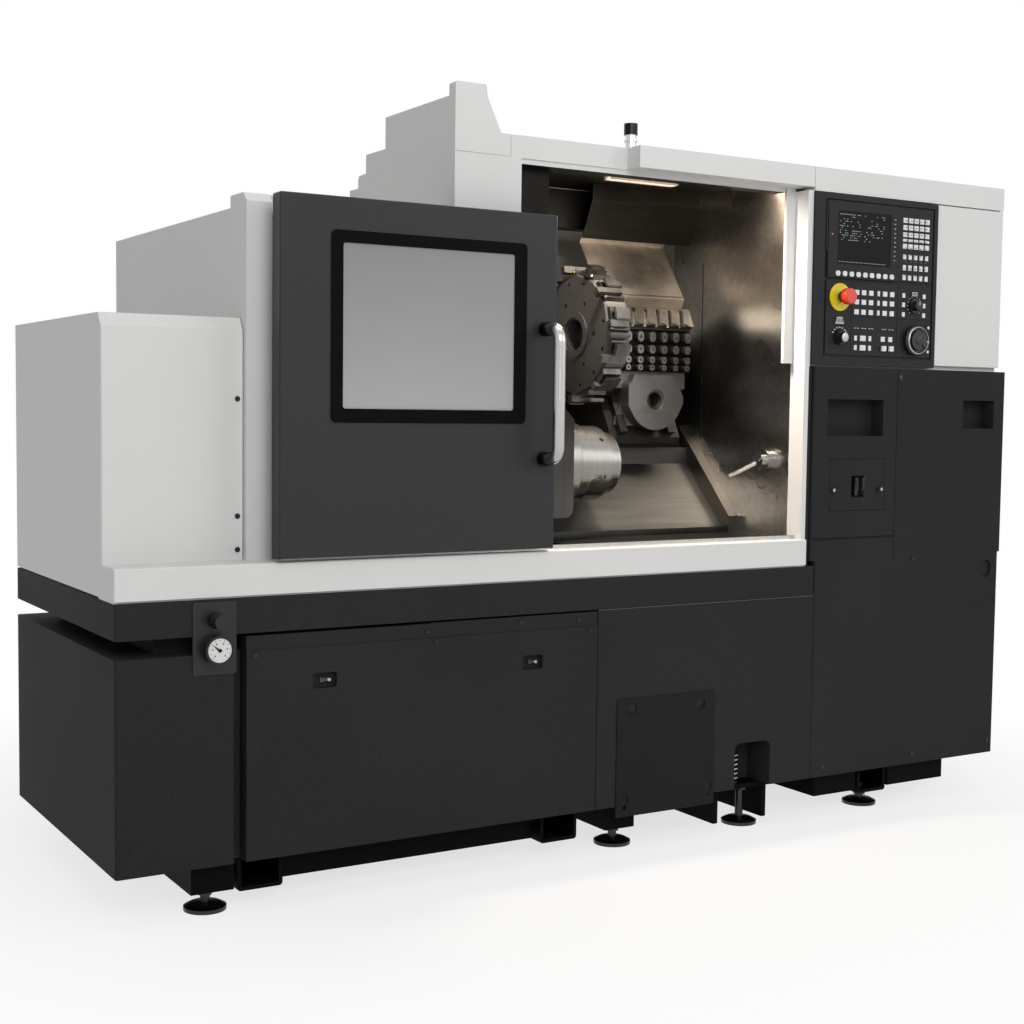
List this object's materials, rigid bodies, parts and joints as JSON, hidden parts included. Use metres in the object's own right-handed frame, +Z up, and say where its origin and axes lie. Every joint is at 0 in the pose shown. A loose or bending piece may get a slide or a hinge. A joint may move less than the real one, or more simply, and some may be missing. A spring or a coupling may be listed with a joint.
{
  "type": "cnc turning lathe",
  "caption": "Slant-bed turning lathe with a sliding window door, stepped collet chuck, drum turret, gang tool block, control panel and dark base",
  "frame": {"origin": "centre of the footprint box, on the floor under the levelling feet", "axes": "+X along the machine to the right seen from the operator, +Y to the back, +Z up"},
  "size_m": [2.56, 1.1404, 1.817],
  "materials": {
    "cover_paint": "light grey powder coat, fine orange peel",
    "base_paint": "charcoal powder coat",
    "door_paint": "dark grey metallic powder coat",
    "frame_black": "black paint",
    "stainless": "rolled stainless sheet",
    "steel": "ground steel",
    "cast": "painted casting",
    "black_plastic": "fine texture",
    "panel_plastic": "panel film",
    "key_white": "satin",
    "screen_glass": "display cover",
    "window_glass": "tinted pane, opaque in this light",
    "signal_yellow": "satin",
    "signal_red": "satin",
    "lamp_lens": "diffuser",
    "zinc": "plated"
  },
  "bodies": {
    "machine": {"base_frame": "frame_black", "fork_pockets": "frame_black", "levelling_feet": "zinc", "coolant_tank": "frame_black", "base_left_cabinet": "base_paint", "base_front_panel": "base_paint", "base_mid_panel": "base_paint", "cover_plate": "base_paint", "base_right_cabinet": "base_paint", "plinth": "base_paint", "sill": "cover_paint", "left_cover": "cover_paint", "spindle_cover": "cover_paint", "hood": "cover_paint", "roof_box": "cover_paint", "control_cabinet": "cover_paint", "rear_cover": "cover_paint", "utility_cabinet": "base_paint", "right_wall_liner": "stainless", "roof_liner": "base_paint", "chute": "stainless", "guard_plate": "stainless", "lamp": "lamp_lens", "door_rail": "steel", "headstock": "cast", "spindle_bearings": "steel", "bed": "cast", "z_rails": "steel", "wall_nozzle": "steel", "control_housing": "panel_plastic", "screen": "screen_glass", "keypad": "key_white", "estop_plate": "signal_yellow", "gauge_plate": "zinc", "pressure_gauge": "zinc", "panel_screws": "zinc", "top_fitting": "zinc"},
    "door": {"door_leaf": "door_paint", "window_frame": "frame_black", "door_glass": "window_glass", "door_handle": "steel"},
    "spindle": {"spindle_shaft": "steel", "chuck": "steel"},
    "carriage": {"saddle": "cast"},
    "cross_carriage": {"cross_slide": "cast", "gang_block": "cast", "way_cover": "stainless"},
    "turret": {"turret_disc": "cast", "tool_holders": "steel"},
    "stop_stem": {"estop_stem": "black_plastic"},
    "stop_cap": {"estop_cap": "signal_red"},
    "mode_dial": {"mode_knob": "black_plastic"},
    "override_dial": {"override_knob": "black_plastic"},
    "wheel": {"handwheel": "black_plastic"},
    "start_button": {"cycle_start": "key_white"},
    "hold_button": {"feed_hold": "key_white"},
    "hatch": {"hatch_door": "base_paint"},
    "latch": {"hatch_latch": "black_plastic"},
    "regulator": {"regulator_knob": "black_plastic"},
    "needle": {"gauge_needle": "signal_red"}
  },
  "joints": [
    {"name": "door_slide", "type": "slide", "parent": "machine", "child": "door", "axis": [1, 0, 0], "range_m": [0, 0.776]},
    {"name": "spindle_turn", "type": "hinge", "parent": "machine", "child": "spindle", "pos_m": [-0.08, -0.13975, 0.94], "axis": [1, 0, 0], "continuous": true},
    {"name": "carriage_slide", "type": "slide", "parent": "machine", "child": "carriage", "axis": [1, 0, 0], "range_m": [-0.2, 0.03]},
    {"name": "cross_feed", "type": "slide", "parent": "carriage", "child": "cross_carriage", "axis": [0, -0.454, -0.891], "range_m": [-0.08, 0.05]},
    {"name": "turret_index", "type": "hinge", "parent": "cross_carriage", "child": "turret", "pos_m": [0.166, 0.01025, 1.28197], "axis": [1, 0, 0], "continuous": true},
    {"name": "stop_push", "type": "slide", "parent": "machine", "child": "stop_stem", "axis": [0, 1, 0], "range_m": [0, 0.006]},
    {"name": "stop_twist", "type": "hinge", "parent": "stop_stem", "child": "stop_cap", "pos_m": [0.644, -0.50375, 1.382], "axis": [0, 1, 0], "range_deg": [0, 30], "stiffness_Nm_per_rad": 0.2, "springref_deg": -11.46},
    {"name": "mode_turn", "type": "hinge", "parent": "machine", "child": "mode_dial", "pos_m": [0.642, -0.47975, 1.276], "axis": [0, 1, 0], "range_deg": [-60, 60]},
    {"name": "override_turn", "type": "hinge", "parent": "machine", "child": "override_dial", "pos_m": [0.911, -0.47975, 1.37], "axis": [0, 1, 0], "range_deg": [-135, 135]},
    {"name": "wheel_turn", "type": "hinge", "parent": "machine", "child": "wheel", "pos_m": [0.913, -0.47975, 1.277], "axis": [0, 1, 0], "continuous": true},
    {"name": "start_push", "type": "slide", "parent": "machine", "child": "start_button", "axis": [0, 1, 0], "range_m": [0, 0.003], "stiffness_N_per_m": 400, "springref_m": -0.003},
    {"name": "hold_push", "type": "slide", "parent": "machine", "child": "hold_button", "axis": [0, 1, 0], "range_m": [0, 0.003], "stiffness_N_per_m": 400, "springref_m": -0.003},
    {"name": "hatch_drop", "type": "hinge", "parent": "machine", "child": "hatch", "pos_m": [0.722, -0.46775, 0.825], "axis": [1, 0, 0], "range_deg": [0, 90]},
    {"name": "latch_turn", "type": "hinge", "parent": "hatch", "child": "latch", "pos_m": [0.7235, -0.45975, 0.884], "axis": [0, 1, 0], "range_deg": [0, 35]},
    {"name": "regulator_turn", "type": "hinge", "parent": "machine", "child": "regulator", "pos_m": [-1.069, -0.48975, 0.633], "axis": [0, 1, 0], "range_deg": [-180, 180]},
    {"name": "needle_turn", "type": "hinge", "parent": "machine", "child": "needle", "pos_m": [-1.068, -0.49775, 0.573], "axis": [0, 1, 0], "range_deg": [-45, 150]}
  ]
}
